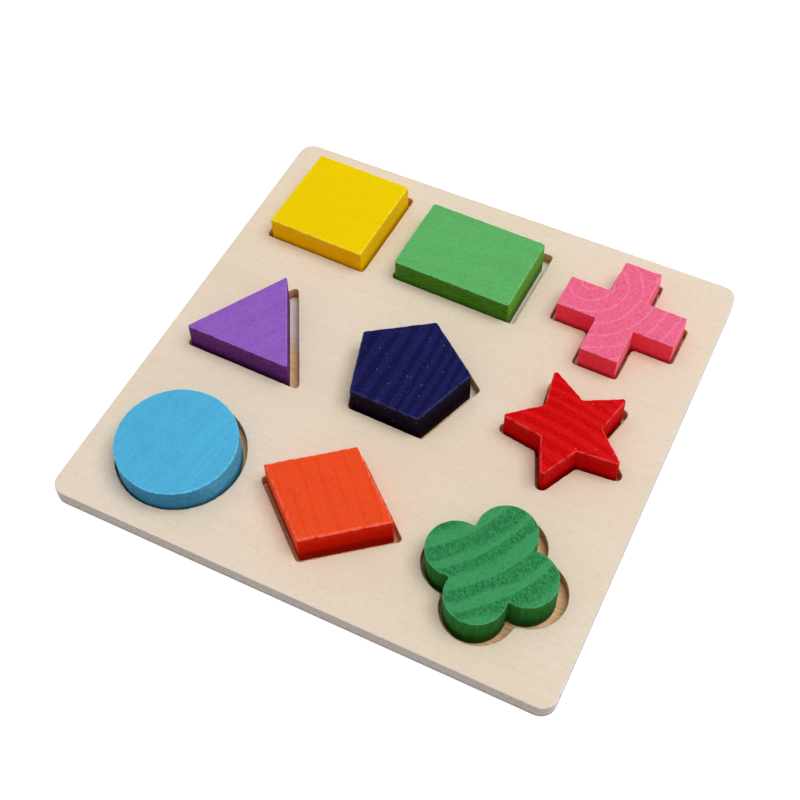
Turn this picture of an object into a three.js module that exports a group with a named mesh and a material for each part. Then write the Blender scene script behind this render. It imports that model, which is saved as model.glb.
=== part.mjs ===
// A wooden shape puzzle: a square board with nine cut-outs and a painted block loose in each.
// The board is a plywood frame panel, cut right through, glued to a thin backing panel.
// Millimetres, +Z up. The origin is the middle of the board's underside.
import * as THREE from "three";

// Board
const FRAME_THICKNESS = 5.2;
const BACKING_THICKNESS = 1.5;
const BOARD_CORNER_RADIUS = 6;
const WEB = 5.72; // wood left beside the largest cut-out, between its cell and the next
const BORDER = 4.75; // strip of wood round the three by three cells
const CUTTER_RADIUS = 1.5; // round corners that the cutter leaves in each cut-out
const TIP_CUTTER_RADIUS = 2.4; // the same in the slender tips of the star's cut-out
const FRAME_POINT_RADIUS = 1.8; // sanded points of the frame that reach into a block's notches

// Blocks
const BLOCK_THICKNESS = 15;
const CRISP_CORNER_RADIUS = 0.6;
const WORN_CORNER_RADIUS = 1.2; // corners that the sanding has taken further down
const BLOCK_NOTCH_RADIUS = 0.4;
const EASED_EDGE = 0.4; // chamfer sanded along the top and bottom edges

// Outlines
const SQUARE_SIDE = 42.8;
const RECTANGLE_LENGTH = 51.2;
const RECTANGLE_WIDTH = 36.5;
const CROSS_SPAN = 49;
const CROSS_ARM = 15.7;
const TRIANGLE_SIDE = 45.6;
const PENTAGON_SIDE = 29.2;
const STAR_TIP_RADIUS = 26;
const STAR_NOTCH_RADIUS = 12.4;
const CIRCLE_DIAMETER = 46.6;
const RHOMBUS_LENGTH = 54;
const RHOMBUS_WIDTH = 44.8;
const CLOVER_LOBE_DIAMETER = 22.5;
const CLOVER_LOBE_OVERLAP = 3.55; // how far neighbouring lobes run into each other

// Finish
const PLYWOOD_COLOUR = 0xe3d2bc;
const PLYWOOD_ROUGHNESS = 0.75;
const BACKING_COLOUR = 0xae8c69;
const BACKING_ROUGHNESS = 0.8;
const PAINT_ROUGHNESS = 0.55;

const ARC_STEP = THREE.MathUtils.degToRad(7.5);
const FULL_TURN = 2 * Math.PI;
const QUARTER_TURN = FULL_TURN / 4;

// A point at a distance and an angle from the middle of an outline.
function polar(radius, angle) {
  return new THREE.Vector2(radius * Math.cos(angle), radius * Math.sin(angle));
}

// Points along an arc, both ends included.
function arcPoints(centre, radius, from, sweep) {
  const steps = Math.max(1, Math.ceil(Math.abs(sweep) / ARC_STEP));
  const points = [];
  for (let i = 0; i <= steps; i += 1) {
    points.push(polar(radius, from + (sweep * i) / steps).add(centre));
  }
  return points;
}

// The unit vector from one point towards another.
function direction(from, to) {
  return to.clone().sub(from).normalize();
}

// The outward side of a direction, on an outline that runs anticlockwise.
function outward(along) {
  return new THREE.Vector2(along.y, -along.x);
}

// Every side of an anticlockwise polygon moved outward by the same distance.
function growPolygon(corners, distance) {
  return corners.map((corner, i) => {
    const first = outward(direction(corners.at(i - 1), corner));
    const second = outward(direction(corner, corners[(i + 1) % corners.length]));
    const reach = distance / (1 + first.dot(second));
    return corner.clone().addScaledVector(first.add(second), reach);
  });
}

// The arc that rounds one corner, tangent to the sides before and after it.
function roundedCorner(before, corner, after, cornerRadius, notchRadius) {
  const incoming = direction(before, corner);
  const outgoing = direction(corner, after);
  const sweep = Math.atan2(incoming.cross(outgoing), incoming.dot(outgoing));
  const radius = sweep > 0 ? cornerRadius : notchRadius;
  const start = corner.clone().addScaledVector(incoming, -radius * Math.tan(Math.abs(sweep) / 2));
  const fromCentre = outward(incoming).multiplyScalar(Math.sign(sweep) * radius);
  return arcPoints(start.sub(fromCentre), radius, fromCentre.angle(), sweep);
}

// An outline is a function of how far it is grown, and of its corner and notch radii.
function polygonOutline(corners) {
  return (grow, cornerRadius, notchRadius) => {
    const grown = growPolygon(corners, grow);
    return grown.flatMap((corner, i) => {
      const before = grown.at(i - 1);
      const after = grown[(i + 1) % grown.length];
      return roundedCorner(before, corner, after, cornerRadius, notchRadius);
    });
  };
}

function rectangleOutline(length, width) {
  const signs = [[1, 1], [-1, 1], [-1, -1], [1, -1]];
  return polygonOutline(signs.map(([x, y]) => new THREE.Vector2((x * length) / 2, (y * width) / 2)));
}

function rhombusOutline(length, width) {
  const reaches = [length / 2, width / 2, length / 2, width / 2];
  return polygonOutline(reaches.map((reach, i) => polar(reach, i * QUARTER_TURN)));
}

// A regular polygon with one corner towards +Y.
function regularOutline(count, side) {
  const radius = side / (2 * Math.sin(Math.PI / count));
  const corners = [];
  for (let i = 0; i < count; i += 1) {
    corners.push(polar(radius, QUARTER_TURN + (i * FULL_TURN) / count));
  }
  return polygonOutline(corners);
}

// A star with one tip towards -Y.
function starOutline(tips, tipRadius, notchRadius) {
  const corners = [];
  for (let i = 0; i < 2 * tips; i += 1) {
    const radius = i % 2 === 0 ? tipRadius : notchRadius;
    corners.push(polar(radius, -QUARTER_TURN + (i * FULL_TURN) / (2 * tips)));
  }
  return polygonOutline(corners);
}

// Four equal arms: the same three corners, turned a quarter for each arm.
function crossOutline(span, arm) {
  const corners = [];
  for (let i = 0; i < 4; i += 1) {
    const armCorners = [
      new THREE.Vector2(span / 2, -arm / 2),
      new THREE.Vector2(span / 2, arm / 2),
      new THREE.Vector2(arm / 2, arm / 2),
    ];
    corners.push(...armCorners.map((corner) => corner.rotateAround(new THREE.Vector2(), i * QUARTER_TURN)));
  }
  return polygonOutline(corners);
}

function circleOutline(diameter) {
  return (grow) => arcPoints(new THREE.Vector2(), diameter / 2 + grow, 0, FULL_TURN).slice(0, -1);
}

// Four round lobes along the axes, with a fillet tangent to both lobes in each notch.
function cloverOutline(lobeDiameter, lobeOverlap) {
  const lobeOffset = (lobeDiameter - lobeOverlap) / Math.SQRT2;
  return (grow, cornerRadius, notchRadius) => {
    const lobeRadius = lobeDiameter / 2 + grow;
    const filletReach = lobeRadius + notchRadius;
    const filletPlace = (lobeOffset + Math.sqrt(2 * filletReach ** 2 - lobeOffset ** 2)) / 2;
    const lobeEnd = Math.atan2(filletPlace, filletPlace - lobeOffset);
    const filletSweep = 2 * lobeEnd - QUARTER_TURN;
    const points = [];
    for (let i = 0; i < 4; i += 1) {
      const facing = i * QUARTER_TURN;
      const fillet = polar(filletPlace * Math.SQRT2, facing + QUARTER_TURN / 2);
      points.push(...arcPoints(polar(lobeOffset, facing), lobeRadius, facing - lobeEnd, 2 * lobeEnd));
      points.push(...arcPoints(fillet, notchRadius, facing + lobeEnd + Math.PI, -filletSweep).slice(1, -1));
    }
    return points;
  };
}

// Each block with its cell's column and row, counted from the middle of the board, and:
// corner, the radius of the block's corners; cutter, the radius of its cut-out's corners;
// nudge, how far its cut-out lies from the middle of the cell; turn, in degrees;
// clearance, by which the cut-out is larger on every side;
// slide, how far the block has slid in its cut-out, as a share of that clearance.
const BLOCKS = [
  {
    name: "yellow_square",
    outline: rectangleOutline(SQUARE_SIDE, SQUARE_SIDE),
    corner: CRISP_CORNER_RADIUS,
    cutter: CUTTER_RADIUS,
    cell: [-1, 1],
    nudge: [-1.5, 3],
    turn: -1.6,
    clearance: 1.6,
    slide: [0.38, -0.74],
    colour: 0xedcd00,
  },
  {
    name: "green_rectangle",
    outline: rectangleOutline(RECTANGLE_LENGTH, RECTANGLE_WIDTH),
    corner: WORN_CORNER_RADIUS,
    cutter: CUTTER_RADIUS,
    cell: [0, 1],
    nudge: [-2.9, 1.7],
    turn: -1.4,
    clearance: 1.9,
    slide: [-0.45, -0.82],
    colour: 0x5cb464,
  },
  {
    name: "pink_cross",
    outline: crossOutline(CROSS_SPAN, CROSS_ARM),
    corner: CRISP_CORNER_RADIUS,
    cutter: CUTTER_RADIUS,
    cell: [1, 1],
    nudge: [-1.5, -0.9],
    turn: -1.1,
    clearance: 1.55,
    slide: [0.26, -0.45],
    colour: 0xed6e91,
  },
  {
    name: "purple_triangle",
    outline: regularOutline(3, TRIANGLE_SIDE),
    corner: CRISP_CORNER_RADIUS,
    cutter: CUTTER_RADIUS,
    cell: [-1, 0],
    nudge: [0, -5.5],
    turn: -1,
    clearance: 1.9,
    slide: [-1.04, -0.2],
    colour: 0x8f5abe,
  },
  {
    name: "navy_pentagon",
    outline: regularOutline(5, PENTAGON_SIDE),
    corner: WORN_CORNER_RADIUS,
    cutter: CUTTER_RADIUS,
    cell: [0, 0],
    nudge: [-0.4, 1.4],
    turn: -1.6,
    clearance: 1.85,
    slide: [-0.54, -0.38],
    colour: 0x211e55,
  },
  {
    name: "red_star",
    outline: starOutline(5, STAR_TIP_RADIUS, STAR_NOTCH_RADIUS),
    corner: WORN_CORNER_RADIUS,
    cutter: TIP_CUTTER_RADIUS,
    cell: [1, 0],
    nudge: [0.5, 3.6],
    turn: -2,
    clearance: 1.35,
    slide: [-0.08, -0.36],
    colour: 0xc8101a,
  },
  {
    name: "blue_circle",
    outline: circleOutline(CIRCLE_DIAMETER),
    corner: CRISP_CORNER_RADIUS,
    cutter: CUTTER_RADIUS,
    cell: [-1, -1],
    nudge: [-0.3, -1.8],
    turn: 0,
    clearance: 1.5,
    slide: [0.07, -0.7],
    colour: 0x4eafda,
  },
  {
    name: "orange_rhombus",
    outline: rhombusOutline(RHOMBUS_LENGTH, RHOMBUS_WIDTH),
    corner: CRISP_CORNER_RADIUS,
    cutter: CUTTER_RADIUS,
    cell: [0, -1],
    nudge: [-2, 1],
    turn: -1.2,
    clearance: 1.75,
    slide: [-0.5, 0.34],
    colour: 0xe94b23,
  },
  {
    name: "green_clover",
    outline: cloverOutline(CLOVER_LOBE_DIAMETER, CLOVER_LOBE_OVERLAP),
    corner: CRISP_CORNER_RADIUS,
    cutter: CUTTER_RADIUS,
    cell: [1, -1],
    nudge: [-0.75, 1.3],
    turn: -0.3,
    clearance: 2.5,
    slide: [-0.54, -0.08],
    colour: 0x3e995f,
  },
];

// The outline of a block's cut-out, about the block's own middle.
function cutoutPoints(block) {
  return block.outline(block.clearance, block.cutter, FRAME_POINT_RADIUS);
}

// The longer side of a cut-out's box.
function cutoutSpan(block) {
  const size = new THREE.Box2().setFromPoints(cutoutPoints(block)).getSize(new THREE.Vector2());
  return Math.max(size.x, size.y);
}

// The cells are as wide as the largest cut-out and its web, and the board frames three by three.
const CELL_PITCH = Math.max(...BLOCKS.map(cutoutSpan)) + WEB;
const BOARD_SIDE = 3 * CELL_PITCH + 2 * BORDER;

// The middle of a block's cut-out on the board.
function cutoutCentre(block) {
  const [column, row] = block.cell;
  return new THREE.Vector2(column * CELL_PITCH + block.nudge[0], row * CELL_PITCH + block.nudge[1]);
}

function woodMaterial(colour, roughness) {
  return new THREE.MeshStandardMaterial({ color: colour, roughness, metalness: 0 });
}

function namedMesh(name, geometry, material) {
  const mesh = new THREE.Mesh(geometry, material);
  mesh.name = name;
  return mesh;
}

function boardShape() {
  return new THREE.Shape(rectangleOutline(BOARD_SIDE, BOARD_SIDE)(0, BOARD_CORNER_RADIUS, 0));
}

function backingPanel() {
  const options = { depth: BACKING_THICKNESS, bevelEnabled: false };
  const geometry = new THREE.ExtrudeGeometry(boardShape(), options);
  return namedMesh("backing_panel", geometry, woodMaterial(BACKING_COLOUR, BACKING_ROUGHNESS));
}

function framePanel() {
  const shape = boardShape();
  for (const block of BLOCKS) {
    const centre = cutoutCentre(block);
    const turn = THREE.MathUtils.degToRad(block.turn);
    const rim = cutoutPoints(block);
    rim.forEach((point) => point.rotateAround(new THREE.Vector2(), turn).add(centre));
    shape.holes.push(new THREE.Path(rim));
  }
  const geometry = new THREE.ExtrudeGeometry(shape, { depth: FRAME_THICKNESS, bevelEnabled: false });
  const panel = namedMesh("frame_panel", geometry, woodMaterial(PLYWOOD_COLOUR, PLYWOOD_ROUGHNESS));
  panel.position.z = BACKING_THICKNESS;
  return panel;
}

// A block, cut from the same outline as its cut-out, with its edges eased.
function blockMesh(block) {
  const shape = new THREE.Shape(block.outline(0, block.corner, BLOCK_NOTCH_RADIUS));
  const geometry = new THREE.ExtrudeGeometry(shape, {
    depth: BLOCK_THICKNESS - 2 * EASED_EDGE,
    bevelEnabled: true,
    bevelThickness: EASED_EDGE,
    bevelSize: EASED_EDGE,
    bevelOffset: -EASED_EDGE,
    bevelSegments: 1,
  });
  geometry.translate(0, 0, EASED_EDGE);
  return namedMesh(block.name, geometry, woodMaterial(block.colour, PAINT_ROUGHNESS));
}

// A block standing on the backing, slid and turned as it lies in its cut-out.
function seatedBlock(block) {
  const seat = new THREE.Group();
  const centre = cutoutCentre(block);
  seat.position.set(centre.x, centre.y, BACKING_THICKNESS);
  seat.rotation.z = THREE.MathUtils.degToRad(block.turn);
  const mesh = blockMesh(block);
  mesh.position.set(block.slide[0] * block.clearance, block.slide[1] * block.clearance, 0);
  seat.add(mesh);
  return seat;
}

const puzzle = new THREE.Group();
puzzle.add(backingPanel(), framePanel(), ...BLOCKS.map(seatedBlock));

export default puzzle;
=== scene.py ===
import math
from collections import namedtuple

import bmesh
import bpy
from bpy.props import FloatProperty, FloatVectorProperty, IntProperty, PointerProperty
from mathutils import Matrix, Vector


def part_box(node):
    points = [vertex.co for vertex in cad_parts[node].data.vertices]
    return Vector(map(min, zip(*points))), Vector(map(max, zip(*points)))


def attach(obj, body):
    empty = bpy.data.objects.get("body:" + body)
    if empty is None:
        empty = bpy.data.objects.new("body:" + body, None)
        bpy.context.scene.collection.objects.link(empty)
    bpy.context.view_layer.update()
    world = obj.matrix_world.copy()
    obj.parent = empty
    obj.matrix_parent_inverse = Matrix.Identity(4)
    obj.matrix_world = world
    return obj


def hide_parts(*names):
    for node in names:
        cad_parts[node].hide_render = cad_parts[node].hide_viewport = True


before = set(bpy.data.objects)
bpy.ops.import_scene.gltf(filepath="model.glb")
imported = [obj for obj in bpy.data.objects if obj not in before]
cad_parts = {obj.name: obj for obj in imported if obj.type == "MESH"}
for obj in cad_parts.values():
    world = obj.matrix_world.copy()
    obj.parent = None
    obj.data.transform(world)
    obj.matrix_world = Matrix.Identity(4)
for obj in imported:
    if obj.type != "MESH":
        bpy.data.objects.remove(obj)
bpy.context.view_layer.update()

bl_info = {
    "name": "Wooden Shape Puzzle",
    "version": (1, 0, 0),
    "blender": (4, 5, 0),
    "location": "View3D > Sidebar > Puzzle",
    "description": "A bare plywood puzzle board with nine painted blocks, in a white studio",
    "category": "Add Mesh",
}

MM = 0.001
QUARTER_TURN = math.pi / 2


def linear(red, green, blue):
    """A colour as it is read from a screen, 0 to 255, in the linear values that shaders use."""
    shares = (value / 255 for value in (red, green, blue))
    return tuple(s / 12.92 if s <= 0.04045 else ((s + 0.055) / 1.055) ** 2.4 for s in shares)


def opaque(colour):
    """A colour with full alpha, as a colour socket takes it."""
    return (*colour[:3], 1.0)


# Growth rings that show through the paint, in millimetres and degrees: the way they run, their
# spacing, the share of it that the line takes, how strong the line is and how much it breaks up
# into dots, how far the rings wander and bow, how their spacing changes across the block, where the
# first one lies, whether the wood stands on end, and where the rings are centred if they are round.
Rings = namedtuple(
    "Rings", "turn pitch width depth dots wander bow squeeze shift on_end centre",
    defaults=(0.0, 0.0, 0.0, False, None),
)

# How much dust, pores and brush streaks show on a block's top, how much the paint runs on its
# sides, and how rough its edges are.
Wear = namedtuple("Wear", "dust pores streaks runs chafed")

# One painted block: its CAD node and slot, its paint on top, in the ring lines, on the front with
# painted shade and on the other sides, its wear and its rings.
Block = namedtuple("Block", "node slot top line front side wear rings")

# Painted shade: each front tone is a darker copy of the paint, for the faces turned to the front.
BLOCKS = [
    Block(
        node="yellow_square", slot="yellow_paint",
        top=linear(237, 204, 0), line=linear(231, 195, 0),
        front=linear(250, 184, 0), side=linear(255, 204, 0),
        wear=Wear(dust=0.0, pores=0.15, streaks=0.4, runs=0.3, chafed=1.1),
        rings=Rings(turn=2, pitch=9, width=0.5, depth=0.1, dots=0.3, wander=6),
    ),
    Block(
        node="green_rectangle", slot="green_paint",
        top=linear(95, 177, 102), line=linear(80, 164, 86),
        front=linear(76, 134, 30), side=linear(110, 176, 62),
        wear=Wear(dust=0.35, pores=0.5, streaks=1.2, runs=0.9, chafed=1.0),
        rings=Rings(turn=8, pitch=11, width=0.5, depth=0.15, dots=0.5, wander=9),
    ),
    Block(
        node="pink_cross", slot="pink_paint",
        top=linear(233, 105, 141), line=linear(245, 142, 168),
        front=linear(255, 60, 82), side=linear(252, 120, 142),
        wear=Wear(dust=0.2, pores=1.4, streaks=0.5, runs=0.15, chafed=1.0),
        rings=Rings(
            turn=0, pitch=5.84, width=0.2, depth=0.6, dots=0.35, wander=1.2,
            shift=-3.8, on_end=True, centre=(-16, 8),
        ),
    ),
    Block(
        node="purple_triangle", slot="purple_paint",
        top=linear(146, 96, 192), line=linear(126, 78, 172),
        front=linear(108, 48, 124), side=linear(118, 60, 142),
        wear=Wear(dust=0.12, pores=0.4, streaks=1.6, runs=1.0, chafed=0.8),
        rings=Rings(turn=60, pitch=10, width=0.3, depth=0.35, dots=0.8, wander=9, bow=0.001),
    ),
    Block(
        node="navy_pentagon", slot="navy_paint",
        top=linear(27, 28, 85), line=linear(11, 10, 51),
        front=linear(20, 10, 27), side=linear(21, 11, 28),
        wear=Wear(dust=0.65, pores=1.0, streaks=1.0, runs=0.3, chafed=1.5),
        rings=Rings(
            turn=270, pitch=5.16, width=0.55, depth=0.9, dots=0.5, wander=2.5,
            bow=0.002, squeeze=0.01, shift=-1.5, on_end=True,
        ),
    ),
    Block(
        node="red_star", slot="red_paint",
        top=linear(214, 14, 19), line=linear(188, 0, 0),
        front=linear(206, 2, 2), side=linear(206, 6, 8),
        wear=Wear(dust=0.2, pores=0.55, streaks=0.7, runs=0.15, chafed=1.4),
        rings=Rings(
            turn=171, pitch=5.2, width=0.66, depth=0.95, dots=0.4, wander=1.5,
            bow=-0.004, squeeze=-0.008, shift=-0.5, on_end=True,
        ),
    ),
    Block(
        node="blue_circle", slot="blue_paint",
        top=linear(81, 178, 219), line=linear(66, 160, 204),
        front=linear(62, 136, 175), side=linear(86, 172, 216),
        wear=Wear(dust=0.06, pores=0.35, streaks=1.6, runs=0.7, chafed=1.1),
        rings=Rings(turn=82, pitch=9, width=0.5, depth=0.15, dots=0.4, wander=6),
    ),
    Block(
        node="orange_rhombus", slot="orange_paint",
        top=linear(236, 77, 35), line=linear(222, 58, 22),
        front=linear(216, 24, 0), side=linear(252, 84, 42),
        wear=Wear(dust=0.06, pores=0.3, streaks=1.2, runs=0.2, chafed=1.9),
        rings=Rings(turn=-45, pitch=5.3, width=0.25, depth=0.4, dots=0.3, wander=6),
    ),
    Block(
        node="green_clover", slot="deep_green_paint",
        top=linear(62, 149, 93), line=linear(20, 103, 51),
        front=linear(40, 112, 42), side=linear(48, 120, 54),
        wear=Wear(dust=0.0, pores=0.9, streaks=0.5, runs=0.8, chafed=0.8),
        rings=Rings(
            turn=55, pitch=9, width=0.68, depth=0.95, dots=0.8, wander=2.5,
            bow=-0.008, shift=-4.8, on_end=True,
        ),
    ),
]


class BoardSettings(bpy.types.PropertyGroup):
    """Sizes and colours of the bare board."""

    ply_tone: FloatVectorProperty(
        name="Plywood", description="Face of the pale plywood", subtype="COLOR",
        default=linear(230, 215, 196),
    )
    warm_tone: FloatVectorProperty(
        name="Warm plywood", description="Warmer patches of the plywood's face", subtype="COLOR",
        default=linear(226, 209, 186),
    )
    grain_tone: FloatVectorProperty(
        name="Grain", description="Fine grain lines in the plywood's face", subtype="COLOR",
        default=linear(214, 196, 172),
    )
    # Painted shade: the front and back edges take this darker copy of the end edges' tone.
    shaded_edge_tone: FloatVectorProperty(
        name="Long edge", description="Cut edges along the grain, front and back", subtype="COLOR",
        default=linear(206, 194, 188),
    )
    end_tone: FloatVectorProperty(
        name="End edge", description="Cut edges across the grain, left and right", subtype="COLOR",
        default=linear(242, 238, 236),
    )
    cut_tone: FloatVectorProperty(
        name="Cut-out wall", description="Browned walls of the cut-outs", subtype="COLOR",
        default=linear(232, 184, 136),
    )
    # Painted light: the brown front and pale back of the backing are one veneer, lit differently.
    backing_tone: FloatVectorProperty(
        name="Backing", description="Browner veneer under the plywood", subtype="COLOR",
        default=linear(250, 208, 158),
    )
    pale_backing_tone: FloatVectorProperty(
        name="Pale backing", description="Pale veneer under the back of the plywood", subtype="COLOR",
        default=linear(244, 230, 218),
    )
    rim_radius: FloatProperty(
        name="Rim radius", description="Rounding of the plywood's top edges", unit="LENGTH",
        default=0.35 * MM,
    )
    sanding: FloatProperty(
        name="Sanding", description="How far the sanded edges wander", unit="LENGTH",
        default=0.05 * MM,
    )
    point_spacing: FloatProperty(
        name="Point spacing", description="Distance between points along an outline", unit="LENGTH",
        default=0.6 * MM,
    )


class BlockSettings(bpy.types.PropertyGroup):
    """Sizes of the painted blocks."""

    edge_radius: FloatProperty(
        name="Edge radius", description="Rounding of a block's top edges", unit="LENGTH",
        default=0.5 * MM,
    )
    foot_radius: FloatProperty(
        name="Foot radius", description="Rounding of a block's bottom edges", unit="LENGTH",
        default=0.4 * MM,
    )
    sanding: FloatProperty(
        name="Sanding", description="How far the sanded edges wander", unit="LENGTH",
        default=0.16 * MM,
    )
    point_spacing: FloatProperty(
        name="Point spacing", description="Distance between points along an outline", unit="LENGTH",
        default=0.45 * MM,
    )
    seed: IntProperty(
        name="Seed", description="Start of the blocks' random sanding", default=11,
    )


class StudioSettings(bpy.types.PropertyGroup):
    """The camera and the light."""

    azimuth: FloatProperty(
        name="Azimuth", description="Turn of the camera round the board", subtype="ANGLE",
        default=math.radians(27.15),
    )
    elevation: FloatProperty(
        name="Elevation", description="Height of the camera over the horizon", subtype="ANGLE",
        default=math.radians(54.93),
    )
    roll: FloatProperty(
        name="Roll", description="Tilt of the camera about its line of sight", subtype="ANGLE",
        default=math.radians(-1.227),
    )
    camera_place: FloatVectorProperty(
        name="Camera place", description="Where the camera stands", subtype="XYZ", unit="LENGTH",
        default=(0.13046, -0.26355, 0.4153),
    )
    lens: FloatProperty(
        name="Lens", description="Focal length of the camera in millimetres", unit="CAMERA",
        default=58.45,
    )
    sky: FloatProperty(
        name="Sky", description="Strength of the even light from all round", default=0.46,
    )
    right_power: FloatProperty(
        name="Right light", description="Power of the soft light on the right", unit="POWER",
        default=41.0,
    )
    left_power: FloatProperty(
        name="Left light", description="Power of the soft light on the left", unit="POWER",
        default=8.0,
    )


class Graph:
    """A node tree with short calls that add a node and give its output."""

    def __init__(self, tree):
        self.tree = tree

    def add(self, kind, inputs=(), output=0, **settings):
        """Adds a node with its settings, and links its inputs or sets their values."""
        made = self.tree.nodes.new(kind)
        for key, value in settings.items():
            setattr(made, key, value)
        for key, value in dict(inputs).items():
            if isinstance(value, bpy.types.NodeSocket):
                self.tree.links.new(value, made.inputs[key])
            else:
                made.inputs[key].default_value = value
        return made.outputs[output]

    def math(self, operation, first, second=0.0):
        return self.add("ShaderNodeMath", {0: first, 1: second}, operation=operation)

    def plus(self, first, second):
        return self.math("ADD", first, second)

    def minus(self, first, second):
        return self.math("SUBTRACT", first, second)

    def times(self, first, second):
        return self.math("MULTIPLY", first, second)

    def vector(self, operation, first, second=(0.0, 0.0, 0.0), output="Vector"):
        return self.add("ShaderNodeVectorMath", {0: first, 1: second}, output, operation=operation)

    def part(self, vector, axis):
        return self.add("ShaderNodeSeparateXYZ", {0: vector}, output="XYZ".index(axis))

    def level(self, value, low, high, to_low=0.0, to_high=1.0):
        """Takes low to to_low and high to to_high, and stops there."""
        sizes = {0: value, 1: low, 2: high, 3: to_low, 4: to_high}
        return self.add("ShaderNodeMapRange", sizes, clamp=True)

    def noise(self, vector, stretch, detail=3.0, roughness=0.55):
        """Noise with so many features to the metre along each axis."""
        sizes = {"Vector": self.vector("MULTIPLY", vector, stretch), "Scale": 1.0}
        return self.add("ShaderNodeTexNoise", {**sizes, "Detail": detail, "Roughness": roughness})

    def mix(self, share, first, second):
        """The first colour, with a share of the second one over it."""
        colours = [c if isinstance(c, bpy.types.NodeSocket) else opaque(c) for c in (first, second)]
        sockets = {0: share, 6: colours[0], 7: colours[1]}
        return self.add("ShaderNodeMix", sockets, 2, data_type="RGBA")


class Finish(Graph):
    """A material being made, with the places and directions that its patterns read."""

    def __init__(self, name):
        self.material = bpy.data.materials.new(name)
        self.material.use_nodes = True
        super().__init__(self.material.node_tree)
        self.tree.nodes.clear()
        self.place = self.add("ShaderNodeTexCoord", output="Object")
        self.facing = self.add("ShaderNodeNewGeometry", output="Normal")
        self.up = self.level(self.part(self.facing, "Z"), 0.35, 0.8)

    def turned(self, centre, turn):
        """Places from a centre, with X along the direction that is turned from the board's X."""
        sizes = {"Vector": self.place, "Location": centre, "Rotation": (0.0, 0.0, turn)}
        return self.add("ShaderNodeMapping", sizes, vector_type="TEXTURE")

    def bump(self, height, depth, strength):
        return self.add("ShaderNodeBump", {"Height": height, "Distance": depth, "Strength": strength})

    def close(self, colour, roughness, specular, normal):
        """Ends the material in its shader and gives it back."""
        sockets = {"Base Color": colour, "Roughness": roughness, "Normal": normal}
        sockets["Specular IOR Level"] = specular
        self.add_output(self.add("ShaderNodeBsdfPrincipled", sockets))
        return self.material

    def add_output(self, shader):
        made = self.tree.nodes.new("ShaderNodeOutputMaterial")
        self.tree.links.new(shader, made.inputs["Surface"])


def specks(finish, per_metre, radius, kept):
    """Small round specks: so many cells to the metre, with a share of the cells kept."""
    sockets = {"Vector": finish.place, "Scale": per_metre}
    cells = finish.add("ShaderNodeTexVoronoi", sockets, output="Distance").node.outputs
    inside = finish.level(cells["Distance"], radius * per_metre, 0.5 * radius * per_metre)
    pick = finish.part(cells["Color"], "X")
    return finish.times(inside, finish.math("LESS_THAN", pick, kept))


# Patterns of the bare wood, in features to the metre along X, Y and Z.
PLY_PATCHES = (7.0, 24.0, 7.0)
PLY_GRAIN = (14.0, 620.0, 14.0)
PLY_FUZZ = (420.0, 1100.0, 420.0)
PLY_PORES = (130.0, 1500.0, 130.0)
PLY_LAYERS = (3.0, 3.0, 640.0)
CUT_FIBRES = (600.0, 600.0, 900.0)
VENEER_GRAIN = (45.0, 1900.0, 45.0)
VENEER_PATCHES = (16.0, 60.0, 16.0)

PLY_PORE_TONE = linear(186, 156, 124)
PLY_FLECK_TONE = linear(176, 146, 112)
PLY_LAYER_TONE = linear(186, 174, 168)
PLY_FIBRE_TONE = linear(146, 132, 124)
LOW_WALL_TONE = linear(196, 142, 96)
WALL_FIBRE_TONE = linear(166, 120, 80)
VENEER_PATCH_TONE = linear(238, 194, 146)
VENEER_GRAIN_TONE = linear(172, 118, 74)
PALE_GRAIN_TONE = linear(226, 208, 194)
VENEER_EDGE_TONE = linear(186, 174, 168)
VENEER_FIBRE_TONE = linear(136, 122, 114)

FLECKS_PER_METRE = 260.0
FLECK_RADIUS = 0.25 * MM
FLECKS_KEPT = 0.12
FLECK_SHARE = 0.6
PLY_RELIEF = 0.12 * MM
VENEER_RELIEF = 0.2 * MM
BARE_SPECULAR = 0.1

# The strip inside the board's outer edge over which a wall starts to count as an outer one.
OUTER_FROM = 2.5 * MM
OUTER_TO = 1.5 * MM


def plywood_face(wood, board, grain, fuzz):
    """The pale face veneer, with warmer patches, fine grain, pores and flecks."""
    patches = wood.noise(wood.place, PLY_PATCHES)
    pores = wood.noise(wood.place, PLY_PORES, 2.0)
    flecks = specks(wood, FLECKS_PER_METRE, FLECK_RADIUS, FLECKS_KEPT)
    face = wood.mix(wood.level(patches, 0.35, 0.7), board.ply_tone, board.warm_tone)
    face = wood.mix(wood.level(grain, 0.45, 0.78, 0.0, 0.35), face, board.grain_tone)
    face = wood.mix(wood.level(fuzz, 0.45, 0.75, 0.0, 0.45), face, board.grain_tone)
    face = wood.mix(wood.level(pores, 0.66, 0.78, 0.0, 0.25), face, PLY_PORE_TONE)
    return wood.mix(wood.times(flecks, FLECK_SHARE), face, PLY_FLECK_TONE)


def plywood_edges(wood, board, fibres):
    """The greyed outer edges, with painted shade on the front and back edges and the layers of the
    plywood running along them.
    """
    layers = wood.noise(wood.place, PLY_LAYERS, 2.0)
    # Painted shade on the front and back edges, picked by which way they face.
    front_back_shade = wood.level(wood.math("ABSOLUTE", wood.part(wood.facing, "Y")), 0.3, 0.8)
    edge = wood.mix(front_back_shade, board.end_tone, board.shaded_edge_tone)
    edge = wood.mix(wood.level(layers, 0.4, 0.62, 0.0, 0.7), edge, PLY_LAYER_TONE)
    return wood.mix(wood.level(fibres, 0.52, 0.72, 0.0, 0.75), edge, PLY_FIBRE_TONE)


def cutout_walls(wood, board, fibres, height):
    """The browned walls of the cut-outs, darker towards the bottom."""
    wall = wood.mix(wood.level(height, 0.1, 0.7), LOW_WALL_TONE, board.cut_tone)
    return wood.mix(wood.level(fibres, 0.5, 0.75, 0.0, 0.4), wall, WALL_FIBRE_TONE)


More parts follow.
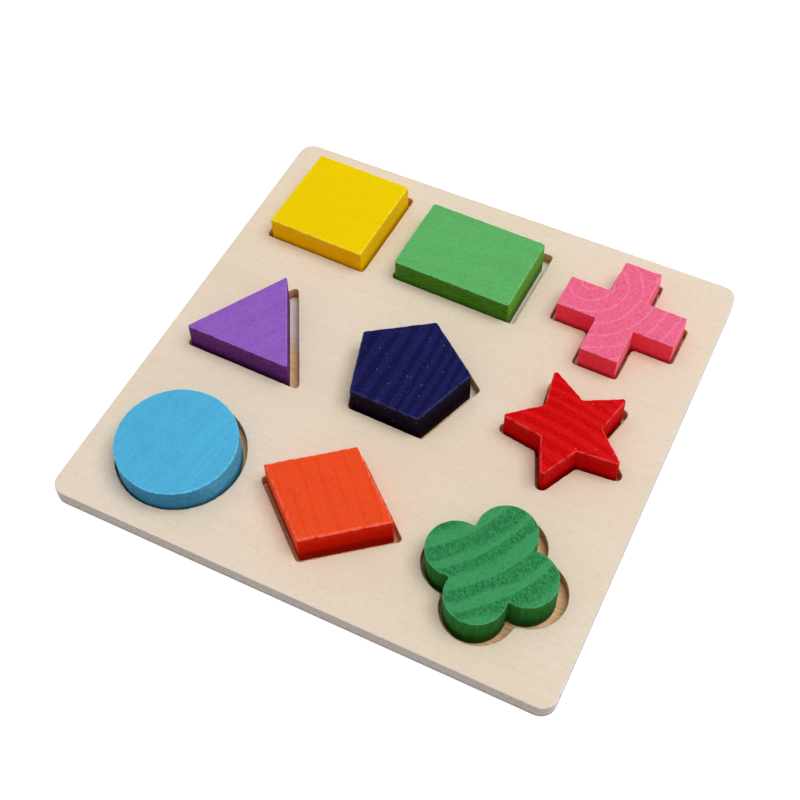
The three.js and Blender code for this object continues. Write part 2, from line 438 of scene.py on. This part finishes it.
def plywood_finish(board):
    """Pale face veneer with fine grain along X, greyed outer edges and browned cut-out walls."""
    wood = Finish("bare_plywood")
    grain = wood.noise(wood.place, PLY_GRAIN, 5.0, 0.65)
    fuzz = wood.noise(wood.place, PLY_FUZZ, 2.0)
    fibres = wood.noise(wood.place, CUT_FIBRES, 4.0, 0.6)

    low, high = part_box("frame_panel")
    height = wood.level(wood.part(wood.place, "Z"), low.z, high.z)
    apart = wood.vector("ABSOLUTE", wood.place)
    reach = wood.math("MAXIMUM", wood.part(apart, "X"), wood.part(apart, "Y"))
    outside = wood.level(reach, high.x - OUTER_FROM, high.x - OUTER_TO)
    walls = cutout_walls(wood, board, fibres, height)
    side = wood.mix(outside, walls, plywood_edges(wood, board, fibres))
    tipped = wood.level(wood.part(wood.facing, "Z"), 0.98, 0.8)
    flat = wood.times(wood.up, wood.minus(1.0, wood.times(tipped, outside)))
    colour = wood.mix(flat, side, plywood_face(wood, board, grain, fuzz))

    relief = wood.plus(wood.plus(grain, fuzz), wood.times(fibres, 0.5))
    normal = wood.bump(relief, PLY_RELIEF, 0.3)
    roughness = wood.level(grain, 0.3, 0.8, 0.62, 0.8)
    return wood.close(colour, roughness, BARE_SPECULAR, normal)


# Where the backing's painted light turns it from brown to pale, along Y and along X, and how far that
# strays.
BROWN_TO = -6 * MM
PALE_FROM = 8 * MM
PALE_TO_RIGHT = 60 * MM
BROWN_FROM_RIGHT = 80 * MM
ZONE_STRAY = 8 * MM


def backing_finish(board):
    """Veneer with painted light: pale towards the back and brown with open grain in front, greyer on
    its edges.
    """
    wood = Finish("backing_veneer")
    grain = wood.noise(wood.place, VENEER_GRAIN, 4.0, 0.65)
    patches = wood.noise(wood.place, VENEER_PATCHES)
    fibres = wood.noise(wood.place, CUT_FIBRES, 4.0, 0.6)

    strayed = wood.times(wood.minus(patches, 0.5), ZONE_STRAY)
    # Painted light: the split from brown to pale stands for how the light falls on the floor of the
    # cut-outs.
    back = wood.level(wood.plus(wood.part(wood.place, "Y"), strayed), BROWN_TO, PALE_FROM)
    left = wood.level(wood.part(wood.place, "X"), BROWN_FROM_RIGHT, PALE_TO_RIGHT)
    brown = wood.mix(wood.level(patches, 0.4, 0.65, 0.0, 0.6), board.backing_tone, VENEER_PATCH_TONE)
    brown = wood.mix(wood.level(grain, 0.48, 0.68, 0.0, 0.7), brown, VENEER_GRAIN_TONE)
    pale = wood.mix(wood.level(grain, 0.5, 0.7, 0.0, 0.3), board.pale_backing_tone, PALE_GRAIN_TONE)
    face = wood.mix(wood.times(back, left), brown, pale)

    edge = wood.mix(wood.level(fibres, 0.45, 0.72, 0.0, 0.6), VENEER_EDGE_TONE, VENEER_FIBRE_TONE)
    flat = wood.level(wood.math("ABSOLUTE", wood.part(wood.facing, "Z")), 0.35, 0.8)
    colour = wood.mix(flat, edge, face)
    normal = wood.bump(grain, VENEER_RELIEF, 0.4)
    return wood.close(colour, 0.75, BARE_SPECULAR, normal)


# Patterns of the rings, in features to the metre along the grain, across it and upwards.
RING_WANDER = (16.0, 70.0, 16.0)
RING_FRAY = (600.0, 900.0, 600.0)
RING_SWELL = (30.0, 110.0, 30.0)
RING_DOTS = (1700.0, 700.0, 1700.0)

FRAY_REACH = 0.9  # in millimetres
SWELL_SHARE = 0.3  # how much the width of the lines varies
RISE_SHARE = 0.3  # the share of a line over which it sets in
LINE_STOP = 0.95  # where in the spacing the line starts to fade out


def node_place(node):
    """The middle of a CAD node's box."""
    low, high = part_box(node)
    return (low + high) / 2


def ring_lines(paint, block):
    """The share of ring line at each place, from 0 to 1, and places turned to run along the grain."""
    rings = block.rings
    middle = node_place(block.node)
    if rings.centre:
        middle += MM * Vector((*rings.centre, 0.0))
    grain = paint.turned(middle, math.radians(rings.turn))
    flat = paint.vector("MULTIPLY", grain, (1 / MM, 1 / MM, 0.0))
    along, across = paint.part(flat, "X"), paint.part(flat, "Y")
    if rings.centre:
        across = paint.vector("LENGTH", flat, output="Value")
    strayed = paint.minus(paint.noise(grain, RING_WANDER, 2.0), 0.5)
    frayed = paint.minus(paint.noise(grain, RING_FRAY, 2.0), 0.5)
    for value, share in (
        (paint.times(along, along), rings.bow),
        (paint.times(across, across), rings.squeeze),
        (strayed, rings.wander),
        (frayed, FRAY_REACH),
    ):
        across = paint.plus(across, paint.times(value, share))
    across = paint.plus(across, rings.shift)

    phase = paint.math("FRACT", paint.math("DIVIDE", across, rings.pitch))
    swelling = paint.noise(grain, RING_SWELL, 1.0)
    swelling = paint.level(swelling, 0.3, 0.7, -SWELL_SHARE, SWELL_SHARE)
    start = paint.minus(1.0 - rings.width, paint.times(swelling, rings.width))
    rising = paint.level(paint.minus(phase, start), 0.0, RISE_SHARE * rings.width)
    line = paint.times(rising, paint.level(phase, 1.0, LINE_STOP))
    dots = paint.noise(grain, RING_DOTS, 3.0, 0.7)
    dotted = paint.level(dots, 0.42, 0.6, 1.0 - rings.dots, 1.0)
    return paint.times(line, dotted), grain


# Patterns of the paint, in features to the metre, those on the grain along it, across it and upwards.
PAINT_STREAKS = (24.0, 900.0, 24.0)
PAINT_MOTTLE = (900.0, 900.0, 900.0)
PAINT_PATCHES = (150.0, 150.0, 150.0)
PAINT_FIBRES = (1500.0, 1500.0, 1500.0)
PAINT_CHAFING = (420.0, 420.0, 420.0)
LONG_PORES = (560.0, 1900.0, 560.0)
ROUND_PORES = (1500.0, 1900.0, 1500.0)
LONG_RUNS = (90.0, 1300.0, 1300.0)
UPRIGHT_RUNS = (1300.0, 1300.0, 90.0)

DUST_PER_METRE = 600.0
DUST_RADIUS = 0.17 * MM
DUST_KEPT = 0.5
DUST_SHARE = 0.55
DUST_TONE = linear(216, 222, 236)
RUBBED_AND_HIGHLIGHT_SHARE = 0.9
PAINT_RELIEF = 0.2 * MM
PAINT_SPECULAR = 0.02

SHADED_FRONT = (0.26, -0.966, 0.0)  # the way the blocks' sides face where their painted shade is darkest
SHADE_FROM = 7 * MM  # the height on a block below which painted shade starts to darken its sides
SHADE_TO = 3 * MM  # the height below which the painted shade darkens no more
SHADE_SHARE = 0.5


def shaded(colour, share):
    """A colour made darker, or lighter above 1."""
    return tuple(min(1.0, share * value) for value in colour)


def rubbed_and_highlight_tone(block):
    """A block's paint where it is rubbed thin and carries a painted highlight, lighter and a little
    whiter.
    """
    whiter = 0.025 + 0.05 * max(block.top)
    return tuple(value + whiter for value in shaded(block.top, 1.2))


def pore_tone(block):
    """A block's paint in its pores, between its front and a dark top."""
    return tuple((front + top) / 2 for front, top in zip(block.front, shaded(block.top, 0.5)))


def painted_top(paint, block, grain, line, streaks, mottle):
    """The top face, with ring lines, brush streaks, pores and pale fibres."""
    wear = block.wear
    patches = paint.noise(paint.place, PAINT_PATCHES)
    pores = paint.noise(grain, ROUND_PORES if block.rings.on_end else LONG_PORES, 1.0)
    fibres = paint.noise(paint.place, PAINT_FIBRES, 1.0)
    deep = shaded(block.top, 0.72)
    top = paint.mix(paint.times(line, block.rings.depth), block.top, block.line)
    top = paint.mix(paint.level(streaks, 0.45, 0.75, 0.0, 0.3 * wear.streaks), top, deep)
    top = paint.mix(paint.level(mottle, 0.5, 0.75, 0.0, 0.3), top, deep)
    top = paint.mix(paint.level(patches, 0.5, 0.7, 0.0, 0.2 * wear.streaks), top, deep)
    top = paint.mix(paint.level(pores, 0.56, 0.7, 0.0, 0.8 * wear.pores), top, pore_tone(block))
    return paint.mix(paint.level(fibres, 0.55, 0.72, 0.0, 0.3 * wear.pores), top, rubbed_and_highlight_tone(block))


def painted_sides(paint, block, grain, mottle):
    """The sides, with painted shade on the front faces and towards the foot, and the paint's runs in
    the wood's fibres.
    """
    wear = block.wear
    # Painted shade: the faces turned towards the front take the block's darker front tone.
    front_shade = paint.vector("DOT_PRODUCT", paint.facing, SHADED_FRONT, output="Value")
    runs = paint.noise(grain, UPRIGHT_RUNS if block.rings.on_end else LONG_RUNS, 4.0, 0.65)
    dark = shaded(block.front, 0.45)
    low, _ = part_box(block.node)
    # Painted shade: the sides darken towards their foot, down by the board.
    height = paint.part(paint.place, "Z")
    foot = paint.level(height, low.z + SHADE_FROM, low.z + SHADE_TO, 0.0, SHADE_SHARE)
    side = paint.mix(paint.level(front_shade, 0.6, 0.9), block.side, block.front)
    side = paint.mix(paint.level(runs, 0.46, 0.7, 0.0, wear.runs), side, dark)
    side = paint.mix(paint.level(runs, 0.42, 0.3, 0.0, 0.4 * wear.runs), side, block.top)
    side = paint.mix(paint.level(mottle, 0.5, 0.72, 0.0, 0.3), side, dark)
    return paint.mix(foot, side, dark)


def paint_finish(block):
    """Matt paint on wood, with growth rings, pores, brush streaks, dust and rubbed edges that also
    carry a painted highlight.
    """
    paint = Finish(block.slot)
    line, grain = ring_lines(paint, block)
    streaks = paint.noise(grain, PAINT_STREAKS, 4.0, 0.6)
    mottle = paint.noise(paint.place, PAINT_MOTTLE, 3.0, 0.6)
    top = painted_top(paint, block, grain, line, streaks, mottle)
    colour = paint.mix(paint.up, painted_sides(paint, block, grain, mottle), top)

    # Rubbed edges: the rounded top edges lighten in patches, partly as wear and partly as a painted
    # highlight where they catch the light.
    rounding = paint.add("ShaderNodeAttribute", output="Fac", attribute_name="rounding")
    chafing_and_highlight = paint.level(paint.noise(paint.place, PAINT_CHAFING), 0.32, 0.52, 0.0, RUBBED_AND_HIGHLIGHT_SHARE)
    colour = paint.mix(paint.times(rounding, chafing_and_highlight), colour, rubbed_and_highlight_tone(block))
    dust = specks(paint, DUST_PER_METRE, DUST_RADIUS, DUST_KEPT * block.wear.dust)
    colour = paint.mix(paint.times(dust, DUST_SHARE), colour, DUST_TONE)

    relief = paint.minus(paint.plus(streaks, mottle), paint.times(line, 0.5))
    normal = paint.bump(relief, PAINT_RELIEF, 0.35)
    roughness = paint.level(mottle, 0.3, 0.7, 0.45, 0.6)
    return paint.close(colour, roughness, PAINT_SPECULAR, normal)


# The tree that turns outlines into a slab with rounded, sanded edges, and its inputs.
SLAB_TREE = "Eased slab"
SLAB_INPUTS = [
    ("Outline", "NodeSocketGeometry"),
    ("Floor", "NodeSocketFloat"),
    ("Height", "NodeSocketFloat"),
    ("Top Radius", "NodeSocketFloat"),
    ("Foot Radius", "NodeSocketFloat"),
    ("Sanding", "NodeSocketFloat"),
    ("Point Spacing", "NodeSocketFloat"),
    ("Seed", "NodeSocketFloat"),
    ("Material", "NodeSocketMaterial"),
]
SLAB_RINGS = 14  # rings of points from the foot of the wall to its top
FOOT_END = 3.2 / (SLAB_RINGS - 1)  # the share of the rings below which the foot is rounded
TOP_START = 6.8 / (SLAB_RINGS - 1)  # the share above which the top is rounded
SANDING_FEATURES = 90.0  # to the metre
CHAFING_FEATURES = 330.0
MERGE_DISTANCE = 0.005 * MM


def quarter_round(graph, radius, share):
    """How far in and how far up a rounded edge lies, for a share of its quarter turn."""
    angle = graph.times(share, QUARTER_TURN)
    inset = graph.times(radius, graph.minus(1.0, graph.math("COSINE", angle)))
    return inset, graph.times(radius, graph.math("SINE", angle))


def sanding_noise(graph, sizes, base, features):
    """Noise along an outline, different for each seed."""
    sockets = {"Vector": base, "W": sizes["Seed"], "Detail": 2.0, "Scale": features}
    return graph.add("ShaderNodeTexNoise", sockets, noise_dimensions="4D")


def slab_profile(graph, sizes, base, outward, rise):
    """Where a point of the slab's wall lies, for its rise from 0 at the foot to 1 at the top."""
    top_share = graph.level(rise, TOP_START, 1.0)
    foot_share = graph.level(rise, 0.0, FOOT_END, 1.0, 0.0)
    wall_share = graph.level(rise, FOOT_END, TOP_START)
    wander = sanding_noise(graph, sizes, base, SANDING_FEATURES)
    uneven = graph.level(sanding_noise(graph, sizes, base, CHAFING_FEATURES), 0.3, 0.7, 0.5, 1.5)
    radius = graph.times(sizes["Top Radius"], uneven)
    foot = sizes["Foot Radius"]
    top_inset, top_rise = quarter_round(graph, radius, top_share)
    foot_inset, foot_drop = quarter_round(graph, foot, foot_share)

    inset = graph.plus(graph.plus(top_inset, foot_inset), graph.times(wander, sizes["Sanding"]))
    wall = graph.minus(graph.minus(sizes["Height"], radius), foot)
    height = graph.plus(foot, graph.times(wall, wall_share))
    height = graph.minus(graph.plus(height, top_rise), foot_drop)
    inward = graph.add("ShaderNodeVectorMath", {0: outward, "Scale": inset}, operation="SCALE")
    flat = graph.vector("SUBTRACT", base, inward)
    lift = graph.add("ShaderNodeCombineXYZ", {"Z": height})
    return graph.vector("ADD", flat, lift), top_share


def slab_cap(graph, sizes, curve, base, outward, rise, height):
    """The flat face that closes the slab at its top or at its foot."""
    place, _ = slab_profile(graph, sizes, base, outward, rise)
    ring = graph.add("GeometryNodeSetPosition", {"Geometry": curve, "Position": place})
    face = graph.add("GeometryNodeFillCurve", {"Curve": ring})
    spot = graph.add("GeometryNodeInputPosition")
    parts = {"X": graph.part(spot, "X"), "Y": graph.part(spot, "Y"), "Z": height}
    flat = graph.add("ShaderNodeCombineXYZ", parts)
    return graph.add("GeometryNodeSetPosition", {"Geometry": face, "Position": flat})


def captured(graph, geometry, kind, name, value):
    """Geometry that keeps a value from before it is swept, and that value."""
    kept = graph.tree.nodes.new("GeometryNodeCaptureAttribute")
    kept.capture_items.new(kind, name)
    graph.tree.links.new(geometry, kept.inputs["Geometry"])
    graph.tree.links.new(value, kept.inputs[name])
    return kept.outputs["Geometry"], kept.outputs[name]


def eased_slab_tree():
    """Outlines swept up into a wall with a rounded top and foot, and closed by two flat faces."""
    tree = bpy.data.node_groups.new(SLAB_TREE, "GeometryNodeTree")
    tree.interface.new_socket(name="Slab", in_out="OUTPUT", socket_type="NodeSocketGeometry")
    for name, kind in SLAB_INPUTS:
        tree.interface.new_socket(name=name, in_out="INPUT", socket_type=kind)
    graph = Graph(tree)
    given = tree.nodes.new("NodeGroupInput").outputs
    sizes = {name: given[name] for name, _ in SLAB_INPUTS}

    curve = graph.add("GeometryNodeMeshToCurve", {"Mesh": sizes["Outline"]})
    spacing = {"Curve": curve, "Length": sizes["Point Spacing"]}
    curve = graph.add("GeometryNodeResampleCurve", spacing, mode="LENGTH")
    spot = graph.add("GeometryNodeInputPosition")
    curve, base = captured(graph, curve, "VECTOR", "Base", spot)
    named = {"Name": "outward"}
    facing = graph.add("GeometryNodeInputNamedAttribute", named, data_type="FLOAT_VECTOR")
    outward = graph.vector("NORMALIZE", facing)

    upright = graph.add("GeometryNodeCurvePrimitiveLine", {"End": (0.0, 1.0, 0.0)})
    rings = {"Curve": upright, "Count": SLAB_RINGS}
    upright = graph.add("GeometryNodeResampleCurve", rings, mode="COUNT")
    share = graph.add("GeometryNodeSplineParameter", output="Factor")
    upright, rise = captured(graph, upright, "FLOAT", "Rise", share)
    swept = graph.add("GeometryNodeCurveToMesh", {"Curve": curve, "Profile Curve": upright})
    place, rounding = slab_profile(graph, sizes, base, outward, rise)
    mound = graph.times(rounding, graph.minus(4.0, graph.times(rounding, 4.0)))
    stored = {"Geometry": swept, "Name": "rounding", "Value": mound}
    swept = graph.add("GeometryNodeStoreNamedAttribute", stored, data_type="FLOAT", domain="POINT")
    wall = graph.add("GeometryNodeSetPosition", {"Geometry": swept, "Position": place})

    top = slab_cap(graph, sizes, curve, base, outward, 1.0, sizes["Height"])
    foot = slab_cap(graph, sizes, curve, base, outward, 0.0, 0.0)
    joined = tree.nodes.new("GeometryNodeJoinGeometry")
    for piece in (foot, top, wall):
        tree.links.new(piece, joined.inputs[0])
    merged = {"Geometry": joined.outputs[0], "Distance": MERGE_DISTANCE}
    slab = graph.add("GeometryNodeMergeByDistance", merged)
    lift = graph.add("ShaderNodeCombineXYZ", {"Z": sizes["Floor"]})
    slab = graph.add("GeometryNodeSetPosition", {"Geometry": slab, "Offset": lift})
    slab = graph.add("GeometryNodeRealizeInstances", {"Geometry": slab})
    slab = graph.add("GeometryNodeSetMaterial", {"Geometry": slab, "Material": sizes["Material"]})
    tree.links.new(slab, tree.nodes.new("NodeGroupOutput").inputs["Slab"])
    return tree


def slab_tree():
    """The shared tree, made once."""
    return bpy.data.node_groups.get(SLAB_TREE) or eased_slab_tree()


UPRIGHT = 0.1  # the largest lean of a wall's normal from level
SAME_PLACE = 0.002 * MM
SMOOTH_ANGLE = math.radians(40.0)


def outline_mesh(node):
    """The outlines of a CAD slab, read from the top of its upright walls, with outward directions."""
    solid = bmesh.new()
    solid.from_mesh(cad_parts[node].data)
    bmesh.ops.remove_doubles(solid, verts=solid.verts, dist=SAME_PLACE)
    walls = [face for face in solid.faces if abs(face.normal.z) < UPRIGHT]
    top = max(vert.co.z for face in walls for vert in face.verts)
    facing, edges = {}, []
    for face in walls:
        for edge in face.edges:
            if all(vert.co.z > top - SAME_PLACE for vert in edge.verts):
                edges.append(tuple(vert.index for vert in edge.verts))
                for vert in edge.verts:
                    facing[vert.index] = facing.get(vert.index, Vector()) + face.normal
    solid.verts.ensure_lookup_table()
    order = {index: place for place, index in enumerate(sorted(facing))}
    points = [(solid.verts[index].co.x, solid.verts[index].co.y, 0.0) for index in order]
    mesh = bpy.data.meshes.new(node + "_outline")
    mesh.from_pydata(points, [(order[a], order[b]) for a, b in edges], [])
    outward = mesh.attributes.new("outward", "FLOAT_VECTOR", "POINT")
    for index, place in order.items():
        outward.data[place].vector = facing[index].normalized()
    solid.free()
    return mesh


def placed(name, data):
    """A new object in the scene, at the origin."""
    made = bpy.data.objects.new(name, data)
    bpy.context.scene.collection.objects.link(made)
    return made


def eased_slab(name, node, body, sizes, material):
    """A slab on the CAD node's own outlines, in the node's place, riding on its body."""
    low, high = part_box(node)
    tree = slab_tree()
    source = placed(name + "_source", outline_mesh(node))
    modifier = source.modifiers.new(SLAB_TREE, "NODES")
    modifier.node_group = tree
    values = {**sizes, "Floor": low.z, "Height": high.z - low.z, "Material": material}
    for item in tree.interface.items_tree:
        if item.in_out == "INPUT" and item.name in values:
            modifier[item.identifier] = values[item.name]
    evaluated = source.evaluated_get(bpy.context.evaluated_depsgraph_get())
    mesh = bpy.data.meshes.new_from_object(evaluated)
    bpy.data.objects.remove(source)
    if not mesh.polygons:
        raise RuntimeError(f"the outlines of {node} gave no faces")
    mesh.name = name

    shell = bmesh.new()
    shell.from_mesh(mesh)
    bmesh.ops.recalc_face_normals(shell, faces=shell.faces)
    shell.to_mesh(mesh)
    shell.free()
    mesh.shade_smooth()
    mesh.set_sharp_from_angle(angle=SMOOTH_ANGLE)
    piece = placed(name, mesh)
    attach(piece, body)
    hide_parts(node)


SAWN_RADIUS = 0.05 * MM  # edges of the panels that were left as sawn
FRAME_SEED = 1.0
BACKING_SEED = 2.0


class PUZZLE_OT_board(bpy.types.Operator):
    """Make the plywood frame panel and the backing panel under it"""

    bl_idname = "puzzle.board"
    bl_label = "Board"

    def execute(self, context):
        board = context.scene.puzzle_board
        sizes = {
            "Top Radius": board.rim_radius,
            "Foot Radius": SAWN_RADIUS,
            "Sanding": board.sanding,
            "Point Spacing": board.point_spacing,
        }
        eased_slab(
            "plywood_frame", "frame_panel", "board",
            {**sizes, "Seed": FRAME_SEED}, plywood_finish(board),
        )
        eased_slab(
            "veneer_backing", "backing_panel", "board",
            {**sizes, "Seed": BACKING_SEED, "Top Radius": SAWN_RADIUS}, backing_finish(board),
        )
        return {"FINISHED"}


class PUZZLE_OT_blocks(bpy.types.Operator):
    """Make the nine painted blocks"""

    bl_idname = "puzzle.blocks"
    bl_label = "Blocks"

    def execute(self, context):
        settings = context.scene.puzzle_blocks
        for number, block in enumerate(BLOCKS):
            sizes = {
                "Top Radius": settings.edge_radius * block.wear.chafed,
                "Foot Radius": settings.foot_radius,
                "Sanding": settings.sanding * block.wear.chafed,
                "Point Spacing": settings.point_spacing,
                "Seed": float(settings.seed + number),
            }
            eased_slab(
                block.node + "_block", block.node, block.node,
                sizes, paint_finish(block),
            )
        return {"FINISHED"}


FLOOR_SIDE = 12.0
FLOOR_DROP = 0.2 * MM
FLOOR_WHITE = (0.9, 0.9, 0.9)
FLOOR_GLOW = 0.6
WHITE = (1.0, 1.0, 1.0)
RIGHT_LIGHT = Vector((0.9, 0.5, 2.4))
LEFT_LIGHT = Vector((-1.2, 0.45, 2.4))
LIGHT_SIDE = 1.8
SENSOR_WIDTH = 36.0  # in millimetres


def seen_directly(graph):
    """1 for what the camera sees, itself or in a shine or through glass, and 0 for the light."""
    path = graph.add("ShaderNodeLightPath", output="Is Camera Ray").node.outputs
    seen = graph.math("MAXIMUM", path["Is Camera Ray"], path["Is Glossy Ray"])
    return graph.math("MAXIMUM", seen, path["Is Transmission Ray"])


def floor_finish():
    """A white floor that only darkens where the board keeps the light from it."""
    floor = Finish("studio_floor")
    white = floor.add("ShaderNodeBsdfDiffuse", {"Color": opaque(FLOOR_WHITE)})
    strength = floor.times(seen_directly(floor), FLOOR_GLOW)
    glow = floor.add("ShaderNodeEmission", {"Strength": strength})
    floor.add_output(floor.add("ShaderNodeAddShader", {0: white, 1: glow}))
    return floor.material


def white_floor():
    """A wide floor just under the board."""
    half = FLOOR_SIDE / 2
    corners = [(-half, -half), (half, -half), (half, half), (-half, half)]
    mesh = bpy.data.meshes.new("floor")
    mesh.from_pydata([(x, y, -FLOOR_DROP) for x, y in corners], [], [(0, 1, 2, 3)])
    mesh.materials.append(floor_finish())
    floor = placed("floor", mesh)


def white_world(studio):
    """Even light from all round, which the camera sees as plain white."""
    world = bpy.data.worlds.new("white_studio")
    world.use_nodes = True
    graph = Graph(world.node_tree)
    graph.tree.nodes.clear()
    strength = graph.level(seen_directly(graph), 0.0, 1.0, studio.sky, 1.0)
    sky = graph.add("ShaderNodeBackground", {"Color": opaque(WHITE), "Strength": strength})
    end = graph.tree.nodes.new("ShaderNodeOutputWorld")
    graph.tree.links.new(sky, end.inputs["Surface"])
    return world


def soft_light(name, place, power):
    """A large square lamp that faces the board."""
    light = bpy.data.lights.new(name, "AREA")
    light.energy = power
    light.size = LIGHT_SIDE
    lamp = placed(name, light)
    lamp.location = place
    lamp.rotation_euler = (-place).to_track_quat("-Z", "Y").to_euler()


def studio_camera(studio):
    """The camera, in its place and turned to the board."""
    lens = bpy.data.cameras.new("camera")
    lens.lens = studio.lens
    lens.sensor_width = SENSOR_WIDTH
    camera = placed("camera", lens)
    turn = Matrix.Rotation(studio.azimuth, 3, "Z")
    tip = Matrix.Rotation(QUARTER_TURN - studio.elevation, 3, "X")
    roll = Matrix.Rotation(studio.roll, 3, "Z")
    camera.rotation_euler = (turn @ tip @ roll).to_euler()
    camera.location = studio.camera_place
    return camera


class PUZZLE_OT_stage(bpy.types.Operator):
    """Make the floor, the light and the camera"""

    bl_idname = "puzzle.stage"
    bl_label = "Stage"

    def execute(self, context):
        scene = context.scene
        studio = scene.puzzle_studio
        white_floor()
        soft_light("right_light", RIGHT_LIGHT, studio.right_power)
        soft_light("left_light", LEFT_LIGHT, studio.left_power)
        scene.world = white_world(studio)
        scene.camera = studio_camera(studio)
        scene.view_settings.view_transform = "Standard"
        return {"FINISHED"}


class PUZZLE_PT_sidebar(bpy.types.Panel):
    """The puzzle's pieces and settings"""

    bl_label = "Puzzle"
    bl_space_type = "VIEW_3D"
    bl_region_type = "UI"
    bl_category = "Puzzle"

    def draw(self, context):
        for name, cls in SETTINGS.items():
            column = self.layout.column()
            for setting in cls.__annotations__:
                column.prop(getattr(context.scene, name), setting)
        for operator in OPERATORS:
            self.layout.operator(operator.bl_idname)


OPERATORS = [PUZZLE_OT_board, PUZZLE_OT_blocks, PUZZLE_OT_stage]
SETTINGS = {
    "puzzle_board": BoardSettings,
    "puzzle_blocks": BlockSettings,
    "puzzle_studio": StudioSettings,
}


def register():
    for cls in (*SETTINGS.values(), *OPERATORS, PUZZLE_PT_sidebar):
        bpy.utils.register_class(cls)
    for name, cls in SETTINGS.items():
        setattr(bpy.types.Scene, name, PointerProperty(type=cls))


def unregister():
    for name in SETTINGS:
        delattr(bpy.types.Scene, name)
    for cls in (PUZZLE_PT_sidebar, *reversed(OPERATORS), *SETTINGS.values()):
        bpy.utils.unregister_class(cls)


def main():
    register()
    bpy.ops.puzzle.board()
    bpy.ops.puzzle.blocks()
    bpy.ops.puzzle.stage()


if __name__ == "__main__":
    main()
